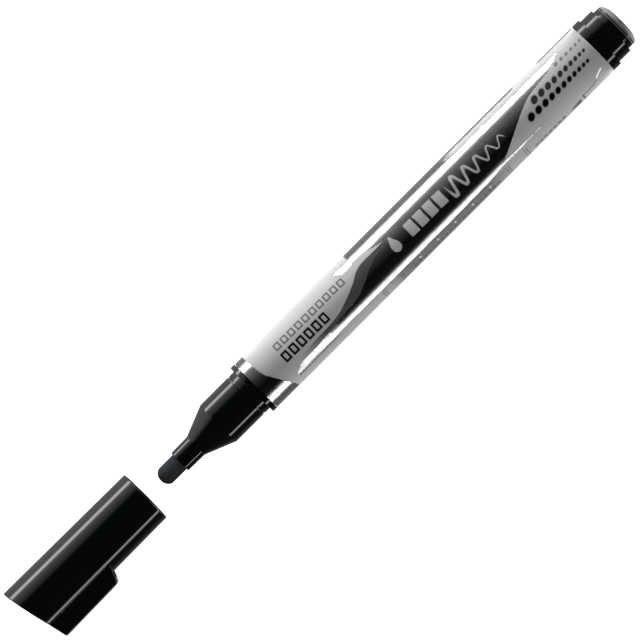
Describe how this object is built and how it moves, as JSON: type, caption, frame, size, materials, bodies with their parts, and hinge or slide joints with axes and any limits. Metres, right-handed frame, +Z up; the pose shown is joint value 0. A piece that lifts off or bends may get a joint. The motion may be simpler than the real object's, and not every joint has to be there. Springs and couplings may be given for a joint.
{
  "type": "whiteboard marker",
  "caption": "Slim liquid-ink whiteboard marker with a clear printed barrel, bullet nib, stepped end plug and a pulled-off clip cap that slides back on.",
  "frame": {"origin": "on the floor under the middle of the whole object's box, with the cap pulled off", "axes": "+X along the marker's axis from the nib to the rear plug, +Z up from the floor; the clip points towards -Y and slightly down, so that its root rests on the floor"},
  "size_m": [0.1726, 0.0162, 0.0129],
  "materials": {
    "clear_plastic": "clear glossy moulding",
    "printed_film": "glossy film printed silver, grey and black",
    "black_ink": "liquid ink",
    "divider_plastic": "ink-stained moulding",
    "collector_plastic": "ink-wetted moulding",
    "wick_fibre": "ink-soaked bonded fibre",
    "nib_fibre": "ink-soaked bonded fibre",
    "black_plastic": "glossy moulding",
    "button_plastic": "satin gloss moulding",
    "cap_plastic": "glossy moulding",
    "liner_plastic": "natural soft moulding"
  },
  "bodies": {
    "marker": {"barrel_tube": "clear_plastic", "label_film": "printed_film", "ink_charge": "black_ink", "tank_divider": "divider_plastic", "ink_collector": "collector_plastic", "feed_wick": "wick_fibre", "nib": "nib_fibre", "nose_section": "black_plastic", "rear_plug": "black_plastic", "end_button": "button_plastic"},
    "cap": {"cap_shell": "cap_plastic", "cap_seal_liner": "liner_plastic"},
    "clip": {"pocket_clip": "cap_plastic"}
  },
  "joints": [
    {"name": "cap_slide", "type": "slide", "parent": "marker", "child": "cap", "axis": [1, 0, 0], "range_m": [0, 0.0308]},
    {"name": "clip_flex", "type": "hinge", "parent": "cap", "child": "clip", "pos_m": [-0.08031, -0.00702, 0.00403], "axis": [0, 0.2685, -0.9633], "range_deg": [0, 5], "stiffness_Nm_per_rad": 1}
  ]
}
